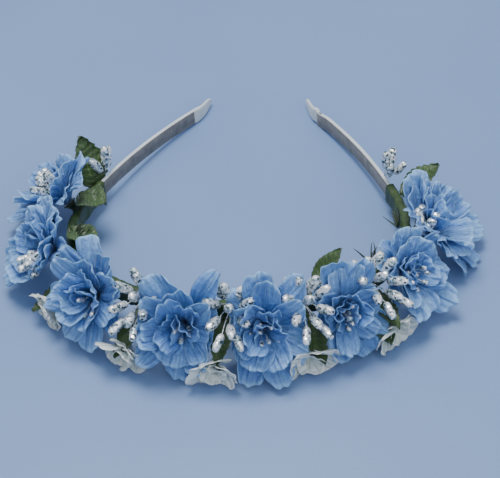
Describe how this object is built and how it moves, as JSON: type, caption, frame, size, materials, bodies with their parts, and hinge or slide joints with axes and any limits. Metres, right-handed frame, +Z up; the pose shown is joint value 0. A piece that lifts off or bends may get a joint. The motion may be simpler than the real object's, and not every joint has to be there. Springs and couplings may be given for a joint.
{
  "type": "flower crown headband",
  "caption": "Sprung C-shaped headband dressed with a garland of blue fabric blossoms, small white blossoms, green leaves and silver glitter stamens.",
  "frame": {"origin": "centre of the bounding box's bottom face, on the surface the crown lies on", "axes": "+X across the head from the left blossoms to the right ones, +Y from the garland's middle to the headband's tips, +Z up from the surface the crown lies on"},
  "size_m": [0.1972, 0.1806, 0.0431],
  "materials": {
    "spring_steel": "spring strip, covered all round by ribbon",
    "white_satin": "glossy white satin ribbon",
    "grey_lining": "matt grey woven ribbon",
    "floral_tape": "dark green waxed crepe tape, slightly glossy",
    "blue_petal_outer": "thin cornflower-blue polyester, soft sheen, lightly see-through",
    "blue_petal_inner": "thin cornflower-blue polyester, soft sheen, lightly see-through",
    "white_petal": "thin white fabric with a faint green tint",
    "leaf_green": "green satin leaf fabric",
    "glitter": "silver-white glitter coat"
  },
  "bodies": {
    "front": {"band_core_front": "spring_steel", "blossom_1_calyx": "leaf_green", "blossom_1_inner_petals": "blue_petal_inner", "blossom_1_outer_petals": "blue_petal_outer", "blossom_1_stamens": "glitter", "blossom_2_calyx": "leaf_green", "blossom_2_inner_petals": "blue_petal_inner", "blossom_2_outer_petals": "blue_petal_outer", "blossom_2_stamens": "glitter", "blossom_3_calyx": "leaf_green", "blossom_3_inner_petals": "blue_petal_inner", "blossom_3_outer_petals": "blue_petal_outer", "blossom_3_stamens": "glitter", "blossom_4_calyx": "leaf_green", "blossom_4_inner_petals": "blue_petal_inner", "blossom_4_outer_petals": "blue_petal_outer", "blossom_4_stamens": "glitter", "blossom_5_calyx": "leaf_green", "blossom_5_inner_petals": "blue_petal_inner", "blossom_5_outer_petals": "blue_petal_outer", "blossom_5_stamens": "glitter", "blossom_6_calyx": "leaf_green", "blossom_6_inner_petals": "blue_petal_inner", "blossom_6_outer_petals": "blue_petal_outer", "blossom_6_stamens": "glitter", "blossom_7_calyx": "leaf_green", "blossom_7_inner_petals": "blue_petal_inner", "blossom_7_outer_petals": "blue_petal_outer", "blossom_7_stamens": "glitter", "blossom_8_calyx": "leaf_green", "blossom_8_inner_petals": "blue_petal_inner", "blossom_8_outer_petals": "blue_petal_outer", "blossom_8_stamens": "glitter", "floral_tape": "floral_tape", "glitter_pick_1": "glitter", "glitter_pick_2": "glitter", "glitter_pick_3": "glitter", "glitter_pick_4": "glitter", "glitter_pick_5": "glitter", "glitter_pick_6": "glitter", "leaf_1": "leaf_green", "leaf_2": "leaf_green", "leaf_3": "leaf_green", "leaf_4": "leaf_green", "leaf_5": "leaf_green", "leaf_6": "leaf_green", "leaf_7": "leaf_green", "lining_front": "grey_lining", "satin_cover_front": "white_satin", "white_blossom_1": "white_petal", "white_blossom_2": "white_petal", "white_blossom_3": "white_petal", "white_blossom_4": "white_petal", "white_blossom_5": "white_petal"},
    "left_leg": {"band_core_left_leg": "spring_steel", "lining_left_leg": "grey_lining", "satin_cover_left_leg": "white_satin"},
    "right_leg": {"band_core_right_leg": "spring_steel", "lining_right_leg": "grey_lining", "satin_cover_right_leg": "white_satin"}
  },
  "joints": [
    {"name": "left_leg_flex", "type": "hinge", "parent": "front", "child": "left_leg", "pos_m": [-0.06115, 0.02193, 0.00863], "axis": [0, 0.0872, 0.9962], "range_deg": [-5, 20], "stiffness_Nm_per_rad": 0.4},
    {"name": "right_leg_flex", "type": "hinge", "parent": "front", "child": "right_leg", "pos_m": [0.05884, 0.02193, 0.00863], "axis": [0, -0.0872, -0.9962], "range_deg": [-5, 20], "stiffness_Nm_per_rad": 0.4}
  ]
}
